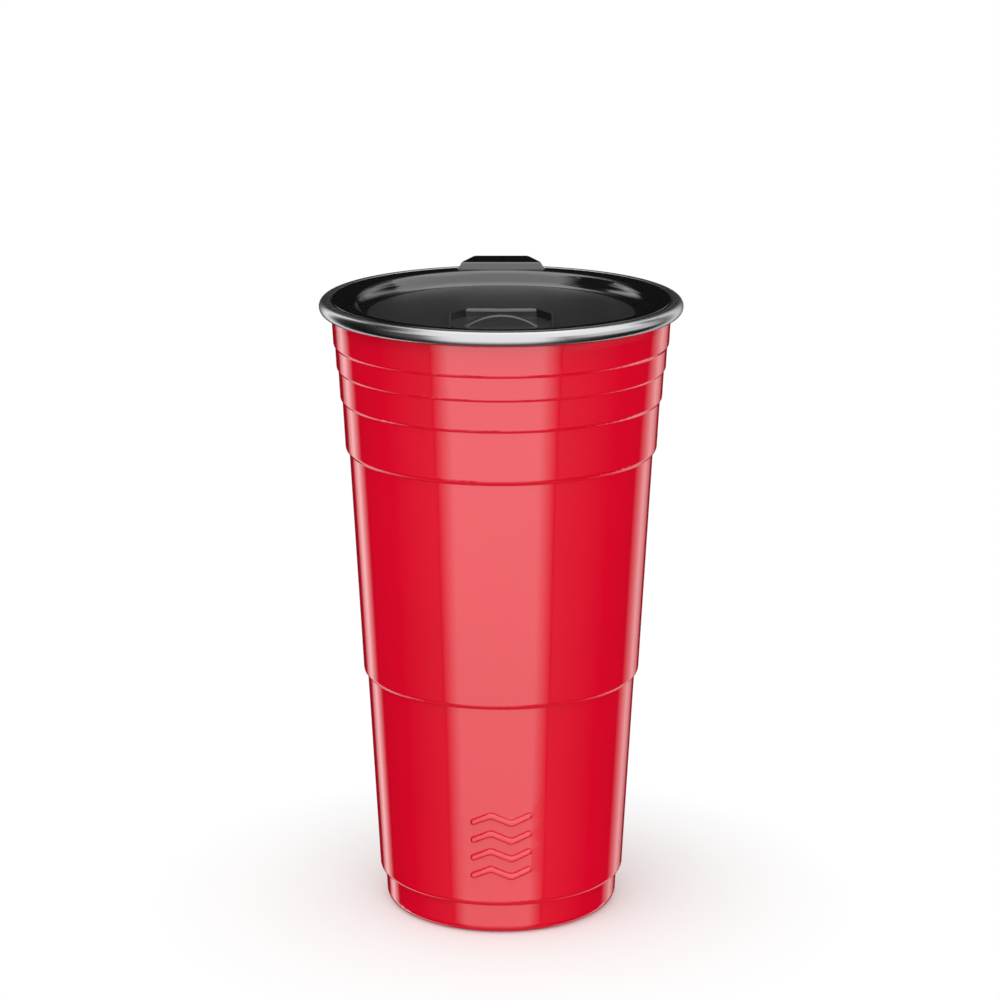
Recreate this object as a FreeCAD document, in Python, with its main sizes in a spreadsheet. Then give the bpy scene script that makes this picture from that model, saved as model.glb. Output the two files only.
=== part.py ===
"""Insulated steel tumbler in the form of a stepped party cup, with a press-in slide lid.

Frame: millimetres, +Z up, origin at the centre of the foot's contact ring, drinking side of the
lid at -Y and its lift tab at +Y. Heights run up from the table. Drops and rises are measured from
the circle where the rolled rim is widest.
"""
import FreeCAD, Part
import math
import os
import re

import Sketcher

# Driving sizes

SIZES = {
    # rolled rim of the steel liner
    "cup_height": 180.6,
    "rim_radius": 52.0,
    "bead_radius": 2.1,
    "curl_end_angle": 130.0,
    "liner_sheet": 0.6,
    # drinking side of the liner, inset from the widest circle of the rim
    "mouth_angle": 30.0,
    "mouth_inset": 5.5,
    "seat_inset": 6.7,
    "seat_drop": 13.5,
    "throat_inset": 8.8,
    "throat_drop": 18.5,
    "floor_inset": 3.0,
    "floor_rise": 9.2,
    "floor_corner": 7.0,
    # lacquered outer wall: its cone, two steps above the table and four steps below the rim
    "shell_sheet": 0.6,
    "shell_inset": 3.64,
    "neck_drop": 4.5,
    "shell_taper": 0.0545,
    "step_one_height": 9.25,
    "step_two_height": 70.05,
    "step_three_drop": 42.2,
    "step_four_drop": 26.95,
    "step_five_drop": 17.95,
    "step_six_drop": 11.2,
    "step_one_depth": 1.5,
    "step_two_depth": 1.05,
    "step_three_depth": 1.02,
    "step_four_depth": 0.58,
    "step_five_depth": 0.48,
    "step_six_depth": 0.48,
    "step_one_round": 1.6,
    "step_two_round": 1.31,
    "step_three_round": 1.44,
    "step_four_round": 0.82,
    "step_five_round": 0.6,
    "step_six_round": 0.75,
    "step_root_fillet": 0.45,
    "foot_corner": 2.5,
    "foot_ring_width": 5.8,
    # welded base
    "base_sheet": 0.6,
    "base_flange_inset": 0.3,
    "base_flange_width": 4.2,
    "base_recess_rise": 2.2,
    "dimple_radius": 5.0,
    "dimple_rise": 1.2,
    "getter_radius": 4.5,
    "getter_height": 1.4,
    "getter_offset": 14.0,
    "seal_radius": 3.2,
    "seal_height": 1.0,
    # raised wave mark low on the front
    "mark_height": 28.0,
    "mark_half": 8.8,
    "mark_swing": 1.3,
    "mark_pitch": 5.5,
    "mark_rib": 2.1,
    "mark_relief": 0.9,
    "mark_bend": 2.4,
    "mark_end": 0.9,
    "mark_edge": 0.75,
    # lid
    "seat_gap": 0.3,
    "flange_inset": 3.7,
    "flange_width": 5.0,
    "flange_slope": 0.4,
    "flange_edge": 0.2,
    "bowl_lip": 1.6,
    "bowl_edge": 3.5,
    "bowl_run": 5.3,
    "dish_drop": 2.1,
    "dish_sag": 1.1,
    "lid_floor": 1.8,
    "plug_gap": 0.9,
    "plug_wall": 2.6,
    "plug_depth": 12.0,
    "plug_shoulder_drop": 3.2,
    # lift tab at the back of the lid
    "tab_root_half": 13.9,
    "tab_waist_half": 11.9,
    "tab_end_half": 7.8,
    "tab_overhang": 6.2,
    "tab_root_reach": 13.3,
    "tab_crest_reach": 11.7,
    "tab_foot_reach": 13.6,
    "tab_rise": 3.7,
    "tab_gap": 0.4,
    "tab_corner": 2.2,
    "tab_edge": 0.8,
    # recess of the slide in the lid, its lengths counted back from its front end
    "recess_margin": 5.0,
    "recess_half": 14.3,
    "recess_back_half": 10.2,
    "recess_length": 34.9,
    "recess_chamfer": 6.9,
    "recess_drop": 5.1,
    "recess_edge": 0.8,
    "track_half": 15.2,
    "track_height": 1.6,
    "rail_start": 3.0,
    "rail_width": 1.7,
    "rail_drop": 2.4,
    "rail_edge": 0.5,
    "well_margin": 2.0,
    "well_floor": 1.8,
    "hole_half": 8.0,
    "hole_start": 1.6,
    "hole_length": 6.0,
    "hole_corner": 2.4,
    # slide
    "slide_gap": 0.2,
    "slide_length": 24.0,
    "grip_start": 19.0,
    "grip_thickness": 4.0,
    "grip_half": 10.6,
    "grip_drop": 0.37,
    "grip_edge": 0.5,
    # gasket of the lid
    "gasket_drop": 5.4,
    "gasket_height": 4.4,
    "gasket_depth": 1.1,
    "gasket_play": 0.05,
    "lip_tip": 0.6,
    "lip_root": 0.2,
}

MARK_RIBS = 4

doc = FreeCAD.newDocument("PartyTumbler")
sheet = doc.addObject("Spreadsheet::Sheet", "Sizes")
for row, (alias, size) in enumerate(SIZES.items(), start=1):
    sheet.set("A%d" % row, alias)
    sheet.set("B%d" % row, str(size))
    sheet.setAlias("B%d" % row, alias)
doc.recompute()

# Radii and heights that several sub-parts share, as expressions of the sheet

RIM = "(cup_height - bead_radius)"
BEAD = "(rim_radius - bead_radius)"
MOUTH = "(rim_radius - mouth_inset)"
SEAT = "(rim_radius - seat_inset)"
THROAT = "(rim_radius - throat_inset)"
SHELL_TOP = "(rim_radius - shell_inset)"
MOUTH_HEIGHT = (f"({RIM} + bead_radius * sin(mouth_angle)"
                f" - ({BEAD} - bead_radius * cos(mouth_angle) - {MOUTH}) / tan(mouth_angle))")
PLUG = f"({SEAT} - plug_gap)"
FLANGE = "(rim_radius - flange_inset)"
BOWL = f"({FLANGE} - flange_width)"
DISH = f"({BOWL} - bowl_run)"
RECESS = f"({DISH} - recess_margin)"
STEP_HEIGHTS = {
    "one": "step_one_height",
    "two": "step_two_height",
    "three": f"({RIM} - step_three_drop)",
    "four": f"({RIM} - step_four_drop)",
    "five": f"({RIM} - step_five_drop)",
    "six": f"({RIM} - step_six_drop)",
}


def bound(text):
    """Put the sheet's name before each alias of an expression."""
    return re.sub("[a-z_]+", lambda word: "Sizes." * (word.group() in SIZES) + word.group(), text)


def value(text):
    """Work out an expression of aliases as a number."""
    result = sheet.evalExpression(bound(text))
    return float(getattr(result, "Value", result))


def shell_steps():
    """Work out each step's wall radius above and below it, from the top step down."""
    radii = {}
    radius, height = SHELL_TOP, f"({RIM} - neck_drop)"
    for step in reversed(STEP_HEIGHTS):
        above = f"({radius} - shell_taper * ({height} - {STEP_HEIGHTS[step]}))"
        radii[step] = (above, f"({above} - step_{step}_depth)")
        radius, height = radii[step][1], STEP_HEIGHTS[step]
    return radii


STEP_RADII = shell_steps()
FOOT = f"({STEP_RADII['one'][1]} - shell_taper * (step_one_height - foot_corner))"
LINER_FLOOR = f"({FOOT} - floor_inset)"
PLATE_HEIGHT = "(shell_sheet + base_recess_rise)"
DIMPLE_HEIGHT = f"({PLATE_HEIGHT} + dimple_rise)"


def weld_height(radius):
    """Give the height where the closed side of the liner's mouth cone has this radius."""
    beyond = f"(({radius} - {MOUTH}) * cos(mouth_angle) - liner_sheet)"
    return f"({MOUTH_HEIGHT} + {beyond} / sin(mouth_angle))"


def below_rim(drop):
    """Give a height this far below the widest circle of the rim."""
    return f"({RIM} - {drop})"


# Helpers for bodies, sketches and features


def new_body(label):
    """Add an empty body for one sub-part or for one of its tools."""
    body = doc.addObject("PartDesign::Body", label)
    body.Label = label
    return body


def new_sketch(body, name, role="XZ_Plane", offset="0"):
    """Add a sketch on one of the body's origin planes, moved along its normal by an expression."""
    plane = next(item for item in body.Origin.OriginFeatures if item.Role == role)
    sketch = body.newObject("Sketcher::SketchObject", name)
    sketch.AttachmentSupport = [(plane, "")]
    sketch.MapMode = "FlatFace"
    if offset != "0":
        sketch.setExpression("AttachmentOffset.Base.z", bound(offset))
    return sketch


def hold(sketch, axis, geometry, point, text):
    """Bind one coordinate of a sketch point to an expression."""
    size = value(text)
    if abs(size) < 1e-9:
        line = -2 if axis == "X" else -1
        sketch.addConstraint(Sketcher.Constraint("PointOnObject", geometry, point, line))
        return
    ends = (-1, 1, geometry, point) if size > 0 else (geometry, point, -1, 1)
    index = sketch.addConstraint(Sketcher.Constraint("Distance" + axis, *ends, abs(size)))
    sketch.setExpression("Constraints[%d]" % index, bound(text if size > 0 else f"-({text})"))


def arc_about(centre, start, end):
    """Draw the anticlockwise arc about a centre from one point to another."""
    first = math.atan2(start.y - centre.y, start.x - centre.x)
    last = math.atan2(end.y - centre.y, end.x - centre.x)
    circle = Part.Circle(centre, FreeCAD.Vector(0, 0, 1), centre.distanceToPoint(start))
    return Part.ArcOfCircle(circle, first, last)


def smooth_arc(start, end, run):
    """Draw the arc between two points that leaves its end along a direction.

    The second value says whether the arc runs clockwise, so that its own ends are swapped.
    """
    left = FreeCAD.Vector(-run.y, run.x, 0).normalize()
    back = start - end
    radius = back.dot(back) / (2 * back.dot(left))
    centre = end + left * radius
    if radius > 0:
        return arc_about(centre, start, end), False
    return arc_about(centre, end, start), True


def edge_shape(kind, before, start, end, onward):
    """Draw one edge of an outline, and say whether its own ends are swapped."""
    bead = FreeCAD.Vector(value(BEAD), value(RIM), 0)
    if kind == "smooth":
        return smooth_arc(start, end, onward - end)
    if kind == "smooth start":
        arc, swapped = smooth_arc(end, start, before - start)
        return arc, not swapped
    if kind == "dish":
        sag = start.y - end.y
        centre = FreeCAD.Vector(0, end.y + (start.x ** 2 + sag ** 2) / (2 * sag), 0)
        return arc_about(centre, end, start), True
    if kind == "over bead":
        return arc_about(bead, start, end), False
    if kind == "back over bead":
        return arc_about(bead, end, start), True
    return Part.LineSegment(start, end), False


def outline(sketch, corners):
    """Draw a closed anticlockwise outline with each corner bound to the sheet.

    A corner is (x, y) or (x, y, kind), where kind says how the edge that leaves it runs: "smooth"
    is an arc tangent to the next edge, "smooth start" one tangent to the edge before it, "dish" is
    centred on the axis, "over bead" and "back over bead" run anticlockwise and clockwise round the
    rim's centre. Without a kind it is straight.
    """
    first = sketch.GeometryCount
    count = len(corners)
    kinds = [corner[2] if len(corner) > 2 else "line" for corner in corners]
    places = [FreeCAD.Vector(value(corner[0]), value(corner[1]), 0) for corner in corners]
    heads, tails = [], []
    for index, kind in enumerate(kinds):
        near = [places[(index + shift) % count] for shift in (-1, 0, 1, 2)]
        shape, swapped = edge_shape(kind, *near)
        sketch.addGeometry(shape, False)
        heads.append(2 if swapped else 1)
        tails.append(1 if swapped else 2)
    for index, kind in enumerate(kinds):
        onward = (index + 1) % count
        meeting = "Tangent" if kind == "smooth" or kinds[onward] == "smooth start" else "Coincident"
        ends = (first + index, tails[index], first + onward, heads[onward])
        sketch.addConstraint(Sketcher.Constraint(meeting, *ends))
        if kind == "dish":
            sketch.addConstraint(Sketcher.Constraint("PointOnObject", first + index, 3, -2))
        if kind.endswith("over bead"):
            hold(sketch, "Y", first + index, 3, RIM)
    for index, corner in enumerate(corners):
        hold(sketch, "X", first + index, heads[index], corner[0])
        hold(sketch, "Y", first + index, heads[index], corner[1])


def rectangle(sketch, left, right, low, high):
    """Draw an upright rectangle bound to four expressions."""
    outline(sketch, [(left, low), (right, low), (right, high), (left, high)])


def disc(sketch, radius, x="0"):
    """Draw a circle on the X axis of the sketch."""
    circle = Part.Circle(FreeCAD.Vector(value(x), 0, 0), FreeCAD.Vector(0, 0, 1), value(radius))
    index = sketch.addGeometry(circle, False)
    hold(sketch, "X", index, 3, x)
    hold(sketch, "Y", index, 3, "0")
    size = sketch.addConstraint(Sketcher.Constraint("Radius", index, value(radius)))
    sketch.setExpression("Constraints[%d]" % size, bound(radius))


def both_sides(right_half):
    """Complete an outline from its right half, listed from the bottom up."""
    return right_half + [(f"-({corner[0]})", *corner[1:]) for corner in reversed(right_half)]


def spin(body, name, sketch, kind="Revolution"):
    """Turn a sketch once round the Z axis, to add material or to cut it away."""
    feature = body.newObject("PartDesign::" + kind, name)
    feature.Profile = sketch
    feature.ReferenceAxis = (sketch, ["V_Axis"])
    feature.Angle = 360
    doc.recompute()
    return feature


def extrude(body, name, sketch, length, kind="Pad", reverse=False, midplane=False):
    """Pad or pocket a sketch over a bound length."""
    feature = body.newObject("PartDesign::" + kind, name)
    feature.Profile = sketch
    feature.setExpression("Length", bound(length))
    feature.Reversed = reverse
    feature.Midplane = midplane
    doc.recompute()
    return feature


def combine(body, name, tool, kind="Fuse"):
    """Join another body to this one, or keep what both share."""
    feature = body.newObject("PartDesign::Boolean", name)
    feature.setObjects([tool])
    feature.Type = kind
    doc.recompute()
    return feature


def round_edges(body, name, radius, wanted):
    """Fillet the edges of the body so far for which wanted(edge) is true."""
    base = body.Tip
    numbered = enumerate(base.Shape.Edges, start=1)
    picks = ["Edge%d" % number for number, edge in numbered if not edge.Degenerated and wanted(edge)]
    if not picks:
        raise RuntimeError("no edges found for " + name)
    feature = body.newObject("PartDesign::Fillet", name)
    feature.Base = (base, picks)
    feature.setExpression("Radius", bound(radius))
    doc.recompute()
    return feature


def rings(*places):
    """Make a test for edges that are circles round the Z axis at (radius, height) places."""
    sizes = [(value(radius), value(height)) for radius, height in places]

    def wanted(edge):
        curve = edge.Curve
        if not isinstance(curve, Part.Circle) or math.hypot(curve.Center.x, curve.Center.y) > 1e-4:
            return False
        offs = [math.hypot(curve.Radius - radius, curve.Center.z - height) for radius, height in sizes]
        return min(offs) < 0.02
    return wanted


def uprights(*places):
    """Make a test for vertical edges at (half width, y) places on either side."""
    sizes = [(value(half), value(reach)) for half, reach in places]

    def wanted(edge):
        if len(edge.Vertexes) < 2:
            return False
        low, high = edge.Vertexes[0].Point, edge.Vertexes[-1].Point
        if math.hypot(low.x - high.x, low.y - high.y) > 1e-4 or abs(low.z - high.z) < 0.1:
            return False
        return any(math.hypot(abs(low.x) - half, low.y - reach) < 0.02 for half, reach in sizes)
    return wanted


def along(axis, place, length, height):
    """Make a test for edges at one x or y, longer than a length and near or above a height."""
    spot, least, low = value(place), value(length), value(height) - 0.05

    def wanted(edge):
        ends = [edge.valueAt(edge.FirstParameter), edge.valueAt(edge.LastParameter)]
        off = [abs(end.x) - spot if axis == "X" else end.y - spot for end in ends]
        return edge.Length > least and max(map(abs, off)) < 0.02 and min(end.z for end in ends) > low
    return wanted


# Cup: the outer wall, the liner with its rolled rim, and the base


def make_outer_shell():
    """Make the lacquered outer wall with its six steps, its foot ring and the raised mark."""
    body = new_body("outer_shell")
    corner_start = f"{FOOT} - foot_corner"
    ring_inside = f"{FOOT} - foot_ring_width"
    outer = [(ring_inside, "0"), (corner_start, "0", "smooth"), (FOOT, "foot_corner")]
    inner = [(ring_inside, "shell_sheet"), (corner_start, "shell_sheet"),
             (f"{FOOT} - shell_sheet", "foot_corner", "smooth")]
    for step, height in STEP_HEIGHTS.items():
        above, below = STEP_RADII[step]
        rise = f"step_{step}_round"
        outer.append((below, height, "smooth"))
        outer.append((f"{above} + shell_taper * {rise}", f"{height} + {rise}"))
        inner.append((f"{below} - shell_sheet", f"{height} + shell_sheet"))
        inner.append((f"{above} - shell_sheet", f"{height} + {rise} + shell_sheet / 2"))
    neck_inside = f"({SHELL_TOP} - shell_sheet)"
    crest = f"({SHELL_TOP} - shell_sheet / 2)"
    outer += [(SHELL_TOP, below_rim("neck_drop")), (SHELL_TOP, weld_height(neck_inside)),
              (crest, weld_height(crest))]
    inner += [(neck_inside, below_rim("neck_drop")), (neck_inside, weld_height(neck_inside))]
    sketch = new_sketch(body, "ShellProfile")
    outline(sketch, outer + inner[::-1])
    spin(body, "ShellWall", sketch)
    roots = [(STEP_RADII[step][1], height) for step, height in STEP_HEIGHTS.items()]
    round_edges(body, "StepRoots", "step_root_fillet", rings(*roots))
    combine(body, "WallAndMark", make_mark())
    edge_radius = value(f"{mark_wall('mark_height')} + mark_relief")

    def on_mark_face(edge):
        point = edge.valueAt((edge.FirstParameter + edge.LastParameter) / 2)
        lean = value("shell_taper") * (point.z - value("mark_height"))
        off = math.hypot(point.x, point.y) - lean - edge_radius
        return abs(off) < 0.02 and point.z < value("step_two_height") - 5
    round_edges(body, "MarkEdges", "mark_edge", on_mark_face)
    return body


def mark_wall(height):
    """Give the outer wall's radius at a height between its first and second step."""
    return f"({STEP_RADII['two'][1]} - shell_taper * (step_two_height - {height}))"


def make_mark():
    """Make the wavy ribs that stand out of the front, as a tool body."""
    skin = new_body("MarkSkin")
    spread = f"(mark_pitch * {MARK_RIBS / 2} + mark_swing)"
    low, high = f"(mark_height - {spread})", f"(mark_height + {spread})"
    sketch = new_sketch(skin, "SkinProfile")
    outline(sketch, [
        (f"{mark_wall(low)} - shell_sheet / 2", low),
        (f"{mark_wall(low)} + mark_relief", low),
        (f"{mark_wall(high)} + mark_relief", high),
        (f"{mark_wall(high)} - shell_sheet / 2", high),
    ])
    spin(skin, "MarkSkinRing", sketch)
    ribs = new_body("MarkRibs")
    sketch = new_sketch(ribs, "RibOutlines")
    for rib in range(MARK_RIBS):
        middle = f"(mark_height + mark_pitch * {rib - (MARK_RIBS - 1) / 2})"
        path = [("-mark_half", -1), ("-mark_half / 3", 1), ("mark_half / 3", -1), ("mark_half", 1)]
        under = [(x, f"{middle} + mark_swing * {side} - mark_rib / 2") for x, side in path]
        over = [(x, f"{middle} + mark_swing * {side} + mark_rib / 2") for x, side in path]
        outline(sketch, under + over[::-1])
    extrude(ribs, "RibBlocks", sketch, "rim_radius")

    def at_x(place):
        size = value(place)

        def wanted(edge):
            start, end = edge.Vertexes[0].Point, edge.Vertexes[-1].Point
            return edge.Length > size and abs(abs(start.x) - size) < 0.02 and abs(start.y - end.y) > 1
        return wanted
    round_edges(ribs, "RibBends", "mark_bend", at_x("mark_half / 3"))
    round_edges(ribs, "RibEnds", "mark_end", at_x("mark_half"))
    combine(ribs, "RibsOnWall", skin, "Common")
    return ribs


def make_inner_liner():
    """Make the steel liner: floor, cone, seat for the lid, mouth cone and rolled rim."""
    body = new_body("inner_liner")
    lean = f"(({THROAT} - {LINER_FLOOR}) / ({RIM} - throat_drop - floor_rise))"
    bend = f"({LINER_FLOOR} + {lean} * floor_corner)"
    hollow = "(bead_radius - liner_sheet)"
    curl = [
        (f"{BEAD} - {hollow} * cos(mouth_angle)", f"{RIM} + {hollow} * sin(mouth_angle)",
         "back over bead"),
        (f"{BEAD} + {hollow} * cos(curl_end_angle)", f"{RIM} - {hollow} * sin(curl_end_angle)"),
        (f"{BEAD} + bead_radius * cos(curl_end_angle)", f"{RIM} - bead_radius * sin(curl_end_angle)",
         "over bead"),
        (f"{BEAD} - bead_radius * cos(mouth_angle)", f"{RIM} + bead_radius * sin(mouth_angle)"),
    ]
    closed_side = [
        ("0", "floor_rise - liner_sheet"),
        (f"{LINER_FLOOR} - floor_corner", "floor_rise - liner_sheet", "smooth"),
        (f"{bend} + liner_sheet", "floor_rise + floor_corner"),
        (f"{THROAT} + liner_sheet", f"{below_rim('throat_drop')} - liner_sheet / 4"),
        (f"{SEAT} + liner_sheet", f"{below_rim('seat_drop')} - liner_sheet / 4"),
        (f"{MOUTH} + liner_sheet", f"{MOUTH_HEIGHT} - liner_sheet * tan(mouth_angle / 2)"),
    ]
    drink_side = [
        (MOUTH, MOUTH_HEIGHT),
        (SEAT, below_rim("seat_drop")),
        (THROAT, below_rim("throat_drop")),
        (bend, "floor_rise + floor_corner", "smooth"),
        (f"{LINER_FLOOR} - floor_corner", "floor_rise"),
        ("0", "floor_rise"),
    ]
    sketch = new_sketch(body, "LinerProfile")
    outline(sketch, closed_side + curl + drink_side)
    spin(body, "LinerWall", sketch)
    return body


def make_base_plate():
    """Make the recessed steel disc that is welded on the shell's foot ring."""
    body = new_body("base_plate")
    edge = f"({FOOT} - foot_corner - base_flange_inset)"
    bend = f"({edge} - base_flange_width)"
    wall = f"({bend} - base_recess_rise / 2)"
    dimple_floor = "(dimple_radius - dimple_rise)"
    under = [("0", DIMPLE_HEIGHT), (dimple_floor, DIMPLE_HEIGHT), ("dimple_radius", PLATE_HEIGHT),
             (wall, PLATE_HEIGHT), (bend, "shell_sheet"), (edge, "shell_sheet")]
    over = [("0", f"{DIMPLE_HEIGHT} + base_sheet"), (dimple_floor, f"{DIMPLE_HEIGHT} + base_sheet"),
            ("dimple_radius", f"{PLATE_HEIGHT} + base_sheet"),
            (f"{wall} + base_sheet / 2", f"{PLATE_HEIGHT} + base_sheet"),
            (f"{bend} + base_sheet / 2", "shell_sheet + base_sheet"), (edge, "shell_sheet + base_sheet")]
    sketch = new_sketch(body, "PlateProfile")
    outline(sketch, under + over[::-1])
    spin(body, "PlateDisc", sketch)
    round_edges(body, "PlateBends", "base_sheet", rings((wall, PLATE_HEIGHT), (bend, "shell_sheet")))
    return body


def make_getter_pellet():
    """Make the gas-absorbing pellet inside the double wall, on top of the base plate."""
    body = new_body("getter_pellet")
    sketch = new_sketch(body, "PelletCircle", "XY_Plane", f"{PLATE_HEIGHT} + base_sheet")
    disc(sketch, "getter_radius", "getter_offset")
    extrude(body, "Pellet", sketch, "getter_height")
    return body


def make_seal_bead():
    """Make the drop of solder that closes the evacuation hole in the base's dimple."""
    body = new_body("seal_bead")
    sketch = new_sketch(body, "BeadCircle", "XY_Plane", DIMPLE_HEIGHT)
    disc(sketch, "seal_radius")
    extrude(body, "Bead", sketch, "seal_height", reverse=True)
    lower_edge = rings(("seal_radius", f"{DIMPLE_HEIGHT} - seal_height"))
    round_edges(body, "BeadRound", "seal_height * 0.8", lower_edge)
    return body


# Lid: the moulded body with its lift tab, the gasket and the slide


def make_lift_tab():
    """Make the tab that overhangs the rim at the back, as a tool body."""
    body = new_body("LiftTab")
    end = "(rim_radius + tab_overhang)"
    crest = f"({end} - tab_crest_reach)"
    foot = f"({end} - tab_foot_reach)"
    web = f"({RIM} + bead_radius - flange_edge)"
    top = f"({RIM} + tab_rise)"
    run, rise = f"({crest} - {foot})", f"({top} - {web} + flange_slope)"
    share = f"(tab_edge / sqrt({run} * {run} + {rise} * {rise}))"
    sketch = new_sketch(body, "TabSide", "YZ_Plane")
    outline(sketch, [
        (foot, f"{web} - flange_slope"), (crest, web), (end, web),
        (end, f"{top} - tab_edge", "smooth"), (f"{end} - tab_edge", top),
        (f"{crest} + tab_edge", top, "smooth"), (f"{crest} - {run} * {share}", f"{top} - {rise} * {share}"),
    ])
    extrude(body, "TabBlock", sketch, "tab_root_half * 2", midplane=True)
    sketch = new_sketch(body, "TabPlan", "XY_Plane", top)
    margin = "(tab_root_half + tab_corner)"
    rectangle(sketch, f"-{margin}", margin, f"{foot} - 1", f"{end} + 1")
    spread, length = "(tab_waist_half - tab_end_half)", f"({end} - {crest})"
    share = f"(tab_corner / sqrt({spread} * {spread} + {length} * {length}))"
    side, reach = f"(tab_end_half + {spread} * {share})", f"({end} - {length} * {share})"
    root = f"{end} - tab_root_reach"
    outline(sketch, [
        ("tab_root_half", foot), ("tab_root_half", root, "smooth"), ("tab_waist_half", crest),
        (side, reach, "smooth"), ("tab_end_half - tab_corner", end),
        ("tab_corner - tab_end_half", end, "smooth"), (f"-{side}", reach),
        ("-tab_waist_half", crest, "smooth start"), ("-tab_root_half", root), ("-tab_root_half", foot),
    ])
    extrude(body, "TabTrim", sketch, "tab_rise * 2", "Pocket")
    sketch = new_sketch(body, "RimRoom")
    rectangle(sketch, f"{FLANGE} - flange_edge", f"{end} + 5", RIM, f"{RIM} + bead_radius + tab_gap")
    spin(body, "TabUnderside", sketch, "Groove")
    return body


def make_lid_body():
    """Make the moulded lid: flange, bowl, plug skirt, lift tab and the recess of the slide."""
    body = new_body("lid_body")
    dish_edge = below_rim("dish_drop")
    dish_middle = f"({dish_edge} - dish_sag)"
    bowl_top = f"({RIM} + bead_radius - flange_slope)"
    skirt = f"({PLUG} - plug_wall)"
    groove = f"({PLUG} - gasket_depth)"
    scoop = "(bead_radius + seat_gap)"
    flange_foot = f"({RIM} + sqrt({scoop} * {scoop} - ({BEAD} - {FLANGE}) * ({BEAD} - {FLANGE})))"
    groove_top = below_rim("gasket_drop")
    profile = [
        ("0", f"{dish_middle} - lid_floor"),
        (f"{DISH} + lid_floor / 3", f"{dish_edge} - lid_floor"),
        (skirt, below_rim("lid_floor")),
        (skirt, below_rim("plug_depth")),
        (PLUG, below_rim("plug_depth")),
        (PLUG, f"{groove_top} - gasket_height"),
        (groove, f"{groove_top} - gasket_height"),
        (groove, groove_top),
        (PLUG, groove_top),
        (PLUG, below_rim("plug_shoulder_drop")),
        (f"{MOUTH} - seat_gap", MOUTH_HEIGHT),
        (f"{MOUTH} - seat_gap * cos(mouth_angle)", f"{MOUTH_HEIGHT} + seat_gap * sin(mouth_angle)"),
        (f"{BEAD} - {scoop} * cos(mouth_angle)", f"{RIM} + {scoop} * sin(mouth_angle)", "back over bead"),
        (FLANGE, flange_foot),
        (FLANGE, f"{RIM} + bead_radius"),
        (BOWL, bowl_top),
        (f"{BOWL} - bowl_lip", f"{bowl_top} - bowl_lip", "smooth"),
        (DISH, dish_edge, "dish"),
        ("0", dish_middle),
    ]
    sketch = new_sketch(body, "LidProfile")
    outline(sketch, profile)
    spin(body, "LidDisc", sketch)
    round_edges(body, "FlangeEdge", "flange_edge", rings((FLANGE, f"{RIM} + bead_radius")))
    round_edges(body, "BowlEdge", "bowl_edge", rings((BOWL, bowl_top)))
    combine(body, "DiscAndTab", make_lift_tab())

    recess_floor = below_rim("recess_drop")
    well_side = "(track_half + well_margin)"
    shoulder = f"(recess_length - {RECESS})"
    back = f"({shoulder} + recess_chamfer)"
    sketch = new_sketch(body, "WellPlan", "XY_Plane", f"{recess_floor} - well_floor")
    rectangle(sketch, f"-{well_side}", well_side, f"-({RECESS} + well_margin)", f"{back} + well_margin")
    extrude(body, "Well", sketch, "well_floor + recess_drop - dish_drop - dish_sag - lid_floor / 6")
    for side in (-1, 1):
        sketch = new_sketch(body, "RailPlan", "XY_Plane", f"{recess_floor} + track_height")
        near, far = "recess_half", "(recess_half + rail_width)"
        ends = (near, far) if side > 0 else (f"-{far}", f"-{near}")
        rectangle(sketch, *ends, f"rail_start - {RECESS}", shoulder)
        extrude(body, "Rail", sketch, "recess_drop - track_height - rail_drop")
    sketch = new_sketch(body, "RecessPlan", "XY_Plane", recess_floor)
    shape = [("recess_half", f"-{RECESS}"), ("recess_half", shoulder), ("recess_back_half", back)]
    outline(sketch, both_sides(shape))
    extrude(body, "Recess", sketch, "recess_drop + tab_rise", "Pocket", reverse=True)
    sketch = new_sketch(body, "TrackPlan", "XY_Plane", recess_floor)
    rectangle(sketch, "-track_half", "track_half", f"-{RECESS}", shoulder)
    extrude(body, "Track", sketch, "track_height", "Pocket", reverse=True)
    sketch = new_sketch(body, "DrinkHole", "XY_Plane", recess_floor)
    hole_front, hole_back = f"(hole_start - {RECESS})", f"(hole_start + hole_length - {RECESS})"
    rectangle(sketch, "-hole_half", "hole_half", hole_front, hole_back)
    extrude(body, "DrinkOpening", sketch, "well_floor * 2", "Pocket")
    corners = uprights(("hole_half", hole_front), ("hole_half", hole_back))
    round_edges(body, "HoleCorners", "hole_corner", corners)
    round_edges(body, "RecessEdge", "recess_edge", along("Y", back, "recess_back_half", dish_middle))
    rail_top = below_rim("rail_drop")
    round_edges(body, "RailEdges", "rail_edge", along("X", "recess_half", "recess_half", rail_top))
    return body


def make_lid_gasket():
    """Make the soft ring in the plug's groove, with two lips that reach for the liner's seat."""
    body = new_body("lid_gasket")
    groove = f"({PLUG} - gasket_depth)"
    bottom = f"({below_rim('gasket_drop')} - gasket_height + gasket_play)"
    top = f"({below_rim('gasket_drop')} - gasket_play)"
    root = f"({PLUG} + lip_root)"
    lean = f"(({MOUTH} - {SEAT}) / ({MOUTH_HEIGHT} - {below_rim('seat_drop')}))"
    profile = [(groove, bottom), (root, bottom)]
    for share in ("1 / 4", "3 / 4"):
        middle = f"({bottom} + ({top} - {bottom}) * {share})"
        tip = f"({SEAT} + ({middle} - {below_rim('seat_drop')}) * {lean} - seat_gap - lip_tip * {lean})"
        profile += [(tip, f"{middle} - lip_tip / 2"), (tip, f"{middle} + lip_tip / 2")]
        if share == "1 / 4":
            profile.append((root, f"({bottom} + {top}) / 2"))
    profile += [(root, top), (groove, top)]
    sketch = new_sketch(body, "GasketProfile")
    outline(sketch, profile)
    spin(body, "GasketRing", sketch)
    return body


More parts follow.
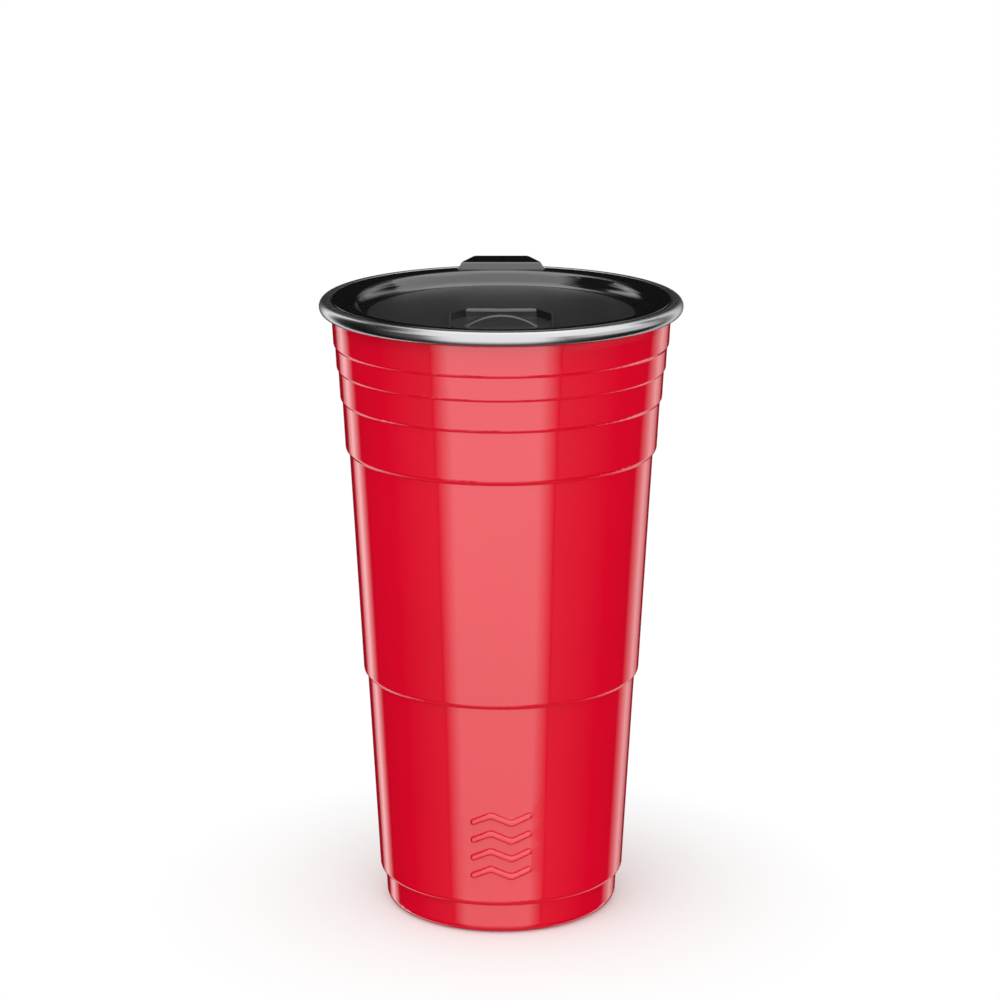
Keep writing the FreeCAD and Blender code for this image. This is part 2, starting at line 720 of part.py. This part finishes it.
def make_slide_shutter():
    """Make the plate that slides in the lid's track, with its arched thumb grip."""
    body = new_body("slide_shutter")
    plate_low = f"({below_rim('recess_drop')} + slide_gap)"
    plate_high = f"({below_rim('recess_drop')} + track_height - slide_gap)"
    half = "(track_half - slide_gap)"
    sketch = new_sketch(body, "PlatePlan", "XY_Plane", plate_low)
    rectangle(sketch, f"-{half}", half, f"slide_gap * 2 - {RECESS}", f"slide_length - {RECESS}")
    extrude(body, "Plate", sketch, "track_height - slide_gap * 2")
    sketch = new_sketch(body, "GripFront", "XZ_Plane", f"{RECESS} - grip_start")
    crest = below_rim("grip_drop")
    foot = f"({plate_high} - slide_gap)"
    middle = FreeCAD.Vector(0, value(crest), 0)
    left, right = (FreeCAD.Vector(side * value("grip_half"), value(foot), 0) for side in (-1, 1))
    sketch.addGeometry(Part.LineSegment(left, right), False)
    sketch.addGeometry(Part.Arc(right, middle, left), False)
    sketch.addConstraint(Sketcher.Constraint("Coincident", 0, 2, 1, 1))
    sketch.addConstraint(Sketcher.Constraint("Coincident", 0, 1, 1, 2))
    for point, size in ((1, "-grip_half"), (2, "grip_half")):
        hold(sketch, "X", 0, point, size)
        hold(sketch, "Y", 0, point, foot)
    rise = f"({crest} - {foot})"
    hold(sketch, "Y", 1, 3, f"{crest} - (grip_half * grip_half + {rise} * {rise}) / (2 * {rise})")
    extrude(body, "Grip", sketch, "grip_thickness", reverse=True)

    def on_grip_top(edge):
        point = edge.valueAt((edge.FirstParameter + edge.LastParameter) / 2)
        return isinstance(edge.Curve, Part.Circle) and point.z > value(crest) - 0.1
    round_edges(body, "GripEdges", "grip_edge", on_grip_top)
    return body


def export(bodies):
    """Check each sub-part and write it to a STEP file named after it."""
    os.makedirs("parts", exist_ok=True)
    for body in bodies:
        if body.Shape.isNull() or not body.Shape.isValid() or len(body.Shape.Solids) != 1:
            raise RuntimeError("no single valid solid for " + body.Label)
        body.Shape.exportStep("parts/%s.step" % body.Label)
        box = body.Shape.BoundBox
        print(body.Label, round(body.Shape.Volume, 1), "z", round(box.ZMin, 2), round(box.ZMax, 2))


SUBPARTS = [
    make_outer_shell(),
    make_inner_liner(),
    make_base_plate(),
    make_getter_pellet(),
    make_seal_bead(),
    make_lid_body(),
    make_lid_gasket(),
    make_slide_shutter(),
]
doc.recompute()
for item in doc.Objects:
    if "Invalid" in item.State or "Error" in item.State:
        raise RuntimeError("feature failed: " + item.Label)
export(SUBPARTS)
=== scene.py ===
"""Looks of an insulated steel party cup: red lacquer, polished rim, black lid with a slide.

The CAD frame gives every shape and place. This script gives the frame's pieces their materials
and sets the photo's camera and studio round them. Lengths are metres, +Z is up and the drinking
side faces -Y.
"""

import logging
import math
from dataclasses import dataclass
from enum import Enum
from typing import Dict, Iterable, List, Optional, Protocol, Sequence, Tuple, Union

import bpy
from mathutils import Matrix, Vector


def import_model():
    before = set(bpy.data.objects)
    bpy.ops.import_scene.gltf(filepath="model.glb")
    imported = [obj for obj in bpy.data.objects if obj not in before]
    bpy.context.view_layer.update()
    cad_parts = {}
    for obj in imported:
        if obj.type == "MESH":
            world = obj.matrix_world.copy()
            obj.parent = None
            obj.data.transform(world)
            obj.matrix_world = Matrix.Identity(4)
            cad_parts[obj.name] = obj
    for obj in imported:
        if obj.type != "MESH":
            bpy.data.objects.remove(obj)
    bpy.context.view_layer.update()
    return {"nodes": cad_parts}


LOG = logging.getLogger("party_cup")
MM = 0.001
WHITE = (1.0, 1.0, 1.0, 1.0)

Colour = Tuple[float, float, float, float]
Inputs = Dict[Union[str, int], object]
Stops = Sequence[Tuple[float, Colour]]


def linear(hex_code: str) -> Colour:
    """Turn an sRGB hex colour into the linear colour that shaders take.

    Args:
        hex_code: six hex digits, with or without a leading hash.

    Returns:
        Linear red, green and blue with an alpha of one.
    """
    digits = hex_code.lstrip("#")
    parts = []
    for start in (0, 2, 4):
        part = int(digits[start:start + 2], 16) / 255
        parts.append(part / 12.92 if part <= 0.04045 else ((part + 0.055) / 1.055) ** 2.4)
    return (*parts, 1.0)


class Channel(Enum):
    """Which kind of ray an object of the studio is shown to."""

    ALL = "all"
    MIRRORED = "mirrored"


class Node:
    """A small hand for building one material's node tree."""

    def __init__(self, tree: bpy.types.NodeTree) -> None:
        """Keep the tree that nodes are added to.

        Args:
            tree: the material's or world's node tree.
        """
        self.tree = tree

    def add(self, kind: str, inputs: Optional[Inputs] = None, **settings: object) -> bpy.types.Node:
        """Add one node, with its settings, and set or link its inputs.

        Args:
            kind: the node's type name.
            inputs: a value or an output socket for each input name or number.
            settings: attributes of the node itself.

        Returns:
            The new node.
        """
        node = self.tree.nodes.new(kind)
        for name, setting in settings.items():
            setattr(node, name, setting)
        for name, value in (inputs or {}).items():
            if isinstance(value, bpy.types.NodeSocket):
                self.tree.links.new(value, node.inputs[name])
            else:
                node.inputs[name].default_value = value
        return node

    def math(self, operation: str, *values: object, clamp: bool = False) -> bpy.types.NodeSocket:
        """Add a math node.

        Args:
            operation: the operation's name.
            values: numbers or sockets.
            clamp: whether the result is kept between zero and one.

        Returns:
            The result socket.
        """
        inputs = dict(enumerate(values))
        return self.add("ShaderNodeMath", inputs, operation=operation, use_clamp=clamp).outputs[0]

    def shine(self, strength: Union[float, bpy.types.NodeSocket]) -> None:
        """End the tree in white light.

        Args:
            strength: the light's strength as a number or a socket.
        """
        glow = self.add("ShaderNodeEmission", {"Strength": strength, "Color": WHITE})
        self.add("ShaderNodeOutputMaterial", {"Surface": glow.outputs[0]})

    def axis_distance(self, place: bpy.types.NodeSocket) -> bpy.types.NodeSocket:
        """Measure the distance of a place from the cup's axis.

        Args:
            place: the place as a vector socket.

        Returns:
            The distance socket.
        """
        axes = self.add("ShaderNodeSeparateXYZ", {0: place}).outputs
        squares = [self.math("POWER", axes[index], 2.0) for index in (0, 1)]
        return self.math("SQRT", self.math("ADD", *squares))

    def ramp(self, factor: bpy.types.NodeSocket, stops: Stops) -> bpy.types.NodeSocket:
        """Add a colour ramp.

        Args:
            factor: where on the ramp the colour is read.
            stops: position and colour pairs.

        Returns:
            The colour socket.
        """
        node = self.add("ShaderNodeValToRGB", {0: factor})
        band = node.color_ramp
        while len(band.elements) < len(stops):
            band.elements.new(0.5)
        for element, (position, colour) in zip(band.elements, stops):
            element.position = position
            element.color = colour
        return node.outputs[0]


@dataclass(frozen=True)
class Lacquer:
    """The outer wall's wet-sprayed and baked red lacquer.

    A pigmented red base under a clear coat. Its faint orange peel, the slow waves that a sprayed
    coat sets in, bends reflections at their edges and keeps the wall from looking like film.
    """

    name: str = "red_sprayed_lacquer"
    base: str = "e0062a"
    deep: str = "da0527"
    peel_size: float = 2.6 * MM
    peel_depth: float = 0.0035 * MM
    base_roughness: float = 0.5
    coat_roughness: float = 0.05
    coat_ior: float = 1.9

    def build(self) -> bpy.types.Material:
        """Build the material.

        Returns:
            The lacquer.
        """
        material, hand, shader = new_material(self.name)
        place = hand.add("ShaderNodeTexCoord").outputs["Object"]
        cloud = hand.add("ShaderNodeTexNoise", {"Vector": place, "Scale": 1 / (60 * MM), "Detail": 2.0})
        tint = hand.ramp(cloud.outputs[0], [(0.35, linear(self.deep)), (0.65, linear(self.base))])
        peel = hand.add("ShaderNodeTexNoise", {"Vector": place, "Scale": 1 / self.peel_size, "Detail": 1.0})
        bump = hand.add("ShaderNodeBump", {"Height": peel.outputs[0], "Distance": self.peel_depth})
        feed(hand, shader, {
            "Base Color": tint,
            "Roughness": self.base_roughness,
            "Specular IOR Level": 0.0,
            "Coat Weight": 1.0,
            "Coat Roughness": self.coat_roughness,
            "Coat IOR": self.coat_ior,
            "Coat Normal": bump.outputs[0],
        })
        return material


@dataclass(frozen=True)
class TurnedSteel:
    """Stainless steel that was polished or brushed while it turned.

    Very fine rings run round the axis, so highlights stretch across them. Coarser than the real
    grain, which is under a tenth of a millimetre.
    """

    name: str
    base: str
    roughness: float
    grain_size: float = 0.25 * MM
    grain_depth: float = 0.0006 * MM
    smear: float = 0.02

    def build(self) -> bpy.types.Material:
        """Build the material.

        Returns:
            The steel.
        """
        material, hand, shader = new_material(self.name)
        place = hand.add("ShaderNodeTexCoord").outputs["Object"]
        height = hand.add("ShaderNodeSeparateXYZ", {0: place}).outputs[2]
        rings = hand.add("ShaderNodeCombineXYZ", {0: hand.axis_distance(place), 1: height}).outputs[0]
        scale = 1 / self.grain_size
        grain = hand.add("ShaderNodeTexNoise", {"Vector": rings, "Scale": scale, "Detail": 3.0})
        smears = hand.add("ShaderNodeTexNoise", {"Vector": place, "Scale": 1 / (9 * MM), "Detail": 4.0})
        rough = hand.math("ADD", self.roughness, hand.math("MULTIPLY", smears.outputs[0], self.smear))
        bump = hand.add("ShaderNodeBump", {"Height": grain.outputs[0], "Distance": self.grain_depth})
        feed(hand, shader, {
            "Base Color": linear(self.base),
            "Metallic": 1.0,
            "Roughness": rough,
            "Normal": bump.outputs[0],
        })
        return material


@dataclass(frozen=True)
class Zone:
    """One ring of the moulded lid, out to a radius, with its own mould surface."""

    outer_radius: float
    base: str
    roughness: float
    texture: float


@dataclass(frozen=True)
class MouldedPlastic:
    """Smoke-black moulded plastic whose mould was finished zone by zone.

    The plastic is black all through. Most of what reads grey is mirrored light; where a zone's
    base is lighter than black, that lighter grey is painted light. The bowl's floor carries a
    fine spark texture that spreads mirrored light. The wall and the flange round it are
    polished and mirror the dark room. The texture is coarser than the real one.
    """

    name: str
    zones: Tuple[Zone, ...]
    ior: float = 1.9
    zone_edge: float = 0.3 * MM
    texture_size: float = 0.22 * MM
    texture_depth: float = 0.003 * MM

    def by_zone(self, hand: Node, radius: bpy.types.NodeSocket,
                values: Sequence[Colour]) -> bpy.types.NodeSocket:
        """Make a socket that steps from one zone's value to the next.

        Args:
            hand: the tree's hand.
            radius: the distance from the cup's axis.
            values: one colour for each zone.

        Returns:
            The colour socket.
        """
        largest = self.zones[-1].outer_radius
        stops = [(0.0, values[0])]
        for zone, here, beyond in zip(self.zones, values, values[1:]):
            stops.append(((zone.outer_radius - self.zone_edge) / largest, here))
            stops.append((zone.outer_radius / largest, beyond))
        return hand.ramp(hand.math("DIVIDE", radius, largest), stops)

    def build(self) -> bpy.types.Material:
        """Build the material.

        Returns:
            The plastic.
        """
        material, hand, shader = new_material(self.name)
        place = hand.add("ShaderNodeTexCoord").outputs["Object"]
        radius = hand.axis_distance(place)
        colour = self.by_zone(hand, radius, [linear(zone.base) for zone in self.zones])
        greys = [(zone.roughness, zone.roughness, zone.roughness, 1.0) for zone in self.zones]
        textures = [(zone.texture, zone.texture, zone.texture, 1.0) for zone in self.zones]
        scale = 1 / self.texture_size
        spark = hand.add("ShaderNodeTexNoise", {"Vector": place, "Scale": scale, "Detail": 2.0})
        bump = hand.add("ShaderNodeBump", {
            "Height": hand.math("MULTIPLY", spark.outputs[0], self.by_zone(hand, radius, textures)),
            "Distance": self.texture_depth,
        })
        feed(hand, shader, {
            "Base Color": colour,
            "Roughness": self.by_zone(hand, radius, greys),
            "IOR": self.ior,
            "Normal": bump.outputs[0],
        })
        return material


@dataclass(frozen=True)
class MattSolid:
    """A matt solid, such as silicone, pressed powder or dull solder, with a cloudy grain."""

    name: str
    base: str
    light: str
    roughness: float
    grain_size: float
    grain_depth: float
    metallic: float = 0.0

    def build(self) -> bpy.types.Material:
        """Build the material.

        Returns:
            The solid.
        """
        material, hand, shader = new_material(self.name)
        place = hand.add("ShaderNodeTexCoord").outputs["Object"]
        scale = 1 / self.grain_size
        grain = hand.add("ShaderNodeTexNoise", {"Vector": place, "Scale": scale, "Detail": 3.0})
        colour = hand.ramp(grain.outputs[0], [(0.3, linear(self.base)), (0.7, linear(self.light))])
        bump = hand.add("ShaderNodeBump", {"Height": grain.outputs[0], "Distance": self.grain_depth})
        feed(hand, shader, {
            "Base Color": colour,
            "Metallic": self.metallic,
            "Roughness": self.roughness,
            "Normal": bump.outputs[0],
        })
        return material


def new_material(name: str) -> Tuple[bpy.types.Material, Node, bpy.types.Node]:
    """Start a material with an empty tree and one principled shader.

    Args:
        name: the material's name.

    Returns:
        The material, a hand for its tree, and its shader.
    """
    material = bpy.data.materials.new(name)
    material.use_nodes = True
    material.node_tree.nodes.clear()
    hand = Node(material.node_tree)
    shader = hand.add("ShaderNodeBsdfPrincipled")
    hand.add("ShaderNodeOutputMaterial", {"Surface": shader.outputs[0]})
    return material, hand, shader


def feed(hand: Node, shader: bpy.types.Node, inputs: Inputs) -> None:
    """Set or link the inputs of a shader.

    Args:
        hand: the tree's hand.
        shader: the shader node.
        inputs: a value or socket for each input name.
    """
    for name, value in inputs.items():
        if isinstance(value, bpy.types.NodeSocket):
            hand.tree.links.new(value, shader.inputs[name])
        else:
            shader.inputs[name].default_value = value


class Finish(Protocol):
    """Anything that can build a material."""

    def build(self) -> bpy.types.Material:
        """Build the material."""


@dataclass(frozen=True)
class Finishes:
    """The finish of each node of the frame."""

    lacquer: Lacquer = Lacquer()
    polished: TurnedSteel = TurnedSteel("polished_steel", "c0c0c2", 0.24)
    stamped: TurnedSteel = TurnedSteel("stamped_turned_steel", "bebcb8", 0.22,
                                       grain_size=0.3 * MM, grain_depth=0.002 * MM, smear=0.08)
    # The floor ring's base, 151516, is a shade lighter than the wall's and flange's 131314. That is painted
    # sheen laid over the floor's real spark texture.
    lid: MouldedPlastic = MouldedPlastic("smoke_black_moulded_plastic", (
        Zone(38.3 * MM, "151516", 0.30, 1.0),
        Zone(42.6 * MM, "131314", 0.12, 0.0),
        Zone(60.0 * MM, "131314", 0.06, 0.0),
    ))
    # The shutter's bases are lighter than the lid's and lightest within 20 mm of the axis. This is painted
    # light that brightens the grip's lit front face, on top of its real satin roughness.
    shutter: MouldedPlastic = MouldedPlastic("smoke_black_satin_plastic_painted_light", (
        Zone(20.0 * MM, "1f1f20", 0.30, 0.5),
        Zone(60.0 * MM, "1b1b1c", 0.25, 0.5),
    ))
    gasket: MattSolid = MattSolid("black_silicone", "121213", "1b1b1c", 0.6, 0.6 * MM, 0.004 * MM)
    pellet: MattSolid = MattSolid("pressed_getter_powder", "3b3c3e", "55565a", 0.75,
                                  0.4 * MM, 0.02 * MM, 0.6)
    solder: MattSolid = MattSolid("dull_solder", "8f9092", "a5a6a8", 0.35, 1.2 * MM, 0.01 * MM, 1.0)

    def by_node(self) -> Dict[str, Finish]:
        """Give the finish of each node.

        Returns:
            A finish for each node name.
        """
        return {
            "outer_shell": self.lacquer,
            "inner_liner": self.polished,
            "base_plate": self.stamped,
            "getter_pellet": self.pellet,
            "seal_bead": self.solder,
            "lid_body": self.lid,
            "lid_gasket": self.gasket,
            "slide_shutter": self.shutter,
        }


class Cup:
    """The object itself: the frame's nodes with their finishes."""

    def __init__(self, nodes: Dict[str, bpy.types.Object], finishes: Finishes) -> None:
        """Keep the nodes and their finishes.

        Args:
            nodes: the frame's objects by name.
            finishes: the finish of each.
        """
        self.nodes = nodes
        self.finishes = finishes

    def dress(self) -> None:
        """Give every node its material."""
        for name, finish in self.finishes.by_node().items():
            node = self.nodes[name]
            node.data.materials.clear()
            node.data.materials.append(finish.build())
            LOG.info("dressed %s", name)


@dataclass(frozen=True)
class Panel:
    """An upright curved panel of the studio, centred on the cup's axis.

    It stands for a softbox or a black flag. Azimuths run from the camera's side, in degrees.
    """

    name: str
    radius: float
    low: float
    high: float
    start: float
    end: float
    strength: float
    soft_ends: float = 0.0
    fade_below: Optional[float] = None
    fade_length: float = 1.0

    def build(self) -> bpy.types.Object:
        """Build the panel as a mesh that only mirrored rays see.

        Returns:
            The panel.
        """
        steps = max(2, round((self.end - self.start) / 3))
        vertices, faces = [], []
        for step in range(steps + 1):
            turn = math.radians(self.start + (self.end - self.start) * step / steps)
            x, y = self.radius * math.sin(turn), -self.radius * math.cos(turn)
            vertices += [(x, y, self.low), (x, y, self.high)]
        for step in range(steps):
            near = 2 * step
            faces.append((near, near + 2, near + 3, near + 1))
        mesh = bpy.data.meshes.new(self.name)
        mesh.from_pydata(vertices, [], faces)
        uv = mesh.uv_layers.new(name="across")
        for loop in mesh.loops:
            step = loop.vertex_index // 2
            uv.data[loop.index].uv = (step / steps, loop.vertex_index % 2)
        panel = bpy.data.objects.new(self.name, mesh)
        bpy.context.collection.objects.link(panel)
        panel.data.materials.append(self.glow())
        show_to(panel, Channel.MIRRORED)
        return panel

    def glow(self) -> bpy.types.Material:
        """Build the panel's light, which can fade at its upright edges and downwards.

        Returns:
            The material.
        """
        material, hand = new_light(self.name)
        place = hand.add("ShaderNodeTexCoord")
        strength: Union[float, bpy.types.NodeSocket] = self.strength
        if self.soft_ends > 0:
            across = hand.add("ShaderNodeSeparateXYZ", {0: place.outputs["UV"]}).outputs[0]
            edge = hand.math("MINIMUM", across, hand.math("SUBTRACT", 1.0, across))
            fade = hand.math("DIVIDE", edge, self.soft_ends, clamp=True)
            strength = hand.math("MULTIPLY", fade, strength)
        if self.fade_below is not None:
            height = hand.add("ShaderNodeSeparateXYZ", {0: place.outputs["Object"]}).outputs[2]
            depth = hand.math("MAXIMUM", hand.math("SUBTRACT", self.fade_below, height), 0.0)
            fade = hand.math("POWER", math.exp(-1.0 / self.fade_length), depth)
            strength = hand.math("MULTIPLY", fade, strength)
        hand.shine(strength)
        return material


@dataclass(frozen=True)
class Canopy:
    """A large level softbox over the cup, turned about the cup's axis, for mirrored rays only."""

    name: str
    height: float
    half_width: float
    front: float
    back: float
    turn: float
    strength: float
    soft_edge: float

    def build(self) -> bpy.types.Object:
        """Build the softbox.

        Returns:
            The softbox.
        """
        mesh = bpy.data.meshes.new(self.name)
        left, right = -self.half_width, self.half_width
        corners = [(left, self.front), (left, self.back), (right, self.back), (right, self.front)]
        mesh.from_pydata([(*corner, 0.0) for corner in corners], [], [(0, 1, 2, 3)])
        canopy = bpy.data.objects.new(self.name, mesh)
        canopy.location = (0.0, 0.0, self.height)
        canopy.rotation_euler = (0.0, 0.0, math.radians(self.turn))
        bpy.context.collection.objects.link(canopy)
        material, hand = new_light(self.name)
        place = hand.add("ShaderNodeSeparateXYZ", {0: hand.add("ShaderNodeTexCoord").outputs["Object"]})
        room = hand.math("SUBTRACT", self.back, place.outputs[1])
        fade = hand.math("DIVIDE", room, self.soft_edge, clamp=True)
        hand.shine(hand.math("MULTIPLY", fade, self.strength))
        canopy.data.materials.append(material)
        show_to(canopy, Channel.MIRRORED)
        return canopy


def new_light(name: str) -> Tuple[bpy.types.Material, Node]:
    """Start the material of a light with an empty tree.

    Args:
        name: the material's name.

    Returns:
        The material and a hand for its tree.
    """
    material = bpy.data.materials.new(name)
    material.use_nodes = True
    material.node_tree.nodes.clear()
    return material, Node(material.node_tree)


def show_to(thing: bpy.types.Object, channel: Channel) -> None:
    """Choose which rays see an object of the studio.

    Args:
        thing: the object.
        channel: all rays, or only mirrored ones.
    """
    mirrored_only = channel is Channel.MIRRORED
    thing.visible_camera = not mirrored_only
    thing.visible_diffuse = not mirrored_only
    thing.visible_shadow = not mirrored_only
    thing.visible_transmission = not mirrored_only


@dataclass(frozen=True)
class Lamp:
    """A soft rectangular lamp aimed at the cup."""

    name: str
    place: Tuple[float, float, float]
    size: Tuple[float, float]
    watts: float
    aim: Tuple[float, float, float] = (0.0, 0.0, 0.1)
    seen_in_mirrors: bool = False

    def build(self) -> bpy.types.Object:
        """Build the lamp.

        Returns:
            The lamp.
        """
        data = bpy.data.lights.new(self.name, "AREA")
        data.shape = "RECTANGLE"
        data.size, data.size_y = self.size
        data.energy = self.watts
        lamp = bpy.data.objects.new(self.name, data)
        lamp.location = self.place
        lamp.rotation_euler = (Vector(self.aim) - Vector(self.place)).to_track_quat("-Z", "Y").to_euler()
        lamp.visible_glossy = self.seen_in_mirrors
        bpy.context.collection.objects.link(lamp)
        return lamp


@dataclass(frozen=True)
class Studio:
    """The photo's studio: pale floor, soft lamps, and a dark room for the glossy parts to mirror."""

    floor_size: float = 14.0
    floor_colour: str = "f4f4f4"
    floor_fibre: str = "f3f3f3"
    paper_radius: float = 20.0 * MM
    paper_fade: float = 85.0 * MM
    room_radius: float = 1.5
    room_low: float = -5.0
    room_front_high: float = 0.80
    room_back_high: float = 2.6
    room_glow: float = 0.006
    room_ground: float = 0.13
    ground_height: float = -2.6
    softbox_fade_start: float = -0.35
    softbox_fade_length: float = 1.1
    world_fill: float = 0.72
    world_mirror: float = 1.0
    lamps: Tuple[Lamp, ...] = (
        Lamp("key_overhead", (-0.25, -0.55, 1.5), (1.4, 1.4), 10.0),
        Lamp("fill_front", (0.5, -1.7, 0.7), (1.2, 1.0), 7.0),
    )

    def panels(self) -> List[Union[Panel, Canopy]]:
        """List the softboxes and flags that the glossy parts mirror.

        Returns:
            The panels.
        """
        low, high, back_high = self.room_low, self.room_front_high, self.room_back_high
        near, far = self.room_radius * 0.9, self.room_radius * 0.95
        fade = (self.softbox_fade_start, self.softbox_fade_length)
        return [
            Panel("room_front", self.room_radius, low, high, -75.0, 110.0, self.room_glow),
            Panel("room_back", self.room_radius, low, back_high, 110.0, 285.0, self.room_glow),
            Panel("front_glow", far, low, high, -92.0, 92.0, 0.17, 0.30, *fade),
            Panel("side_glow", self.room_radius * 0.93, -0.10, high, 30.0, 125.0, 0.9, 0.25),
            Panel("front_softbox", near, low, high, -49.5, 41.5, 1.45, 0.155, *fade),
            Panel("strip_left", near, low, 1.40, -153.0, -125.0, 1.75, 0.50),
            Panel("strip_right", near, low, 1.50, 122.0, 160.0, 1.15, 0.50),
            Panel("back_softbox", near, 1.00, 1.75, 150.0, 210.0, 1.8, 0.25, 1.45, 0.12),
            Canopy("back_overhead", 1.42, 0.45, 0.20, 1.30, 0.0, 1.8, 0.20),
            Canopy("overhead_softbox", 1.45, 4.0, -4.0, 0.75, 50.0, 1.45, 0.25),
            Canopy("room_ground", self.ground_height, 4.0, -4.0, 4.0, 0.0, self.room_ground, 0.01),
        ]

    def build(self) -> List[bpy.types.Object]:
        """Build the studio.

        Returns:
            Its objects.
        """
        bpy.ops.mesh.primitive_plane_add(size=self.floor_size, location=(0.0, 0.0, -0.0001))
        floor = bpy.context.object
        floor.name = "studio_floor"
        material, hand, shader = new_material("matt_paper_floor")
        place = hand.add("ShaderNodeTexCoord").outputs["Object"]
        fibre = hand.add("ShaderNodeTexNoise", {"Vector": place, "Scale": 1 / (40 * MM), "Detail": 2.0})
        stops = [(0.0, linear(self.floor_fibre)), (1.0, linear(self.floor_colour))]
        tint = hand.ramp(fibre.outputs[0], stops)
        feed(hand, shader, {"Base Color": tint, "Roughness": 1.0, "Specular IOR Level": 0.0})
        reach = hand.add("ShaderNodeVectorMath", {0: place}, operation="LENGTH").outputs["Value"]
        beyond = hand.math("SUBTRACT", reach, self.paper_radius)
        away = hand.math("DIVIDE", beyond, self.paper_fade, clamp=True)
        backdrop = hand.add("ShaderNodeEmission", {"Color": WHITE, "Strength": 1.0})
        mixed = hand.add("ShaderNodeMixShader", {0: away, 1: shader.outputs[0], 2: backdrop.outputs[0]})
        out = next(node for node in material.node_tree.nodes if node.type == "OUTPUT_MATERIAL")
        hand.tree.links.new(mixed.outputs[0], out.inputs["Surface"])
        floor.data.materials.append(material)
        floor.visible_glossy = False
        self.build_world()
        panels = [panel.build() for panel in self.panels()]
        lamps = [lamp.build() for lamp in self.lamps]
        return [floor] + panels + lamps

    def build_world(self) -> None:
        """Build the world: white to the camera and to mirrors, a plain fill to matt surfaces."""
        world = bpy.data.worlds.new("studio_world")
        world.use_nodes = True
        world.node_tree.nodes.clear()
        hand = Node(world.node_tree)
        path = hand.add("ShaderNodeLightPath")
        seen = hand.math("MAXIMUM", path.outputs["Is Camera Ray"], path.outputs["Is Glossy Ray"])
        seen = hand.math("MAXIMUM", seen, path.outputs["Is Transmission Ray"])
        gain = hand.math("MULTIPLY", seen, self.world_mirror - self.world_fill)
        strength = hand.math("ADD", gain, self.world_fill)
        light = hand.add("ShaderNodeBackground", {"Color": WHITE, "Strength": strength})
        hand.add("ShaderNodeOutputWorld", {"Surface": light.outputs[0]})
        bpy.context.scene.world = world


@dataclass(frozen=True)
class PhotoCamera:
    """The photo's camera, fitted to the cup's outline."""

    distance: float = 919.3 * MM
    height: float = 358.45 * MM
    pitch: float = 14.493
    lens: float = 117.98
    sensor: float = 36.0
    shift: Tuple[float, float] = (-0.0012, 0.0)

    def build(self) -> bpy.types.Object:
        """Build the camera and make it the scene's own.

        Returns:
            The camera.
        """
        data = bpy.data.cameras.new("photo_camera")
        data.lens = self.lens
        data.sensor_width = self.sensor
        data.shift_x, data.shift_y = self.shift
        data.clip_start = 0.05
        data.clip_end = 50.0
        camera = bpy.data.objects.new("photo_camera", data)
        camera.location = (0.0, -self.distance, self.height)
        camera.rotation_euler = (math.radians(90.0 - self.pitch), 0.0, 0.0)
        bpy.context.collection.objects.link(camera)
        bpy.context.scene.camera = camera
        return camera


def main() -> None:
    """Build the looks in order."""
    logging.basicConfig(level=logging.INFO, format="%(name)s: %(message)s")
    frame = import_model()
    scene = bpy.context.scene
    scene.view_settings.view_transform = "Standard"
    Cup(frame["nodes"], Finishes()).dress()
    Studio().build()
    PhotoCamera().build()


if __name__ == "__main__":
    main()
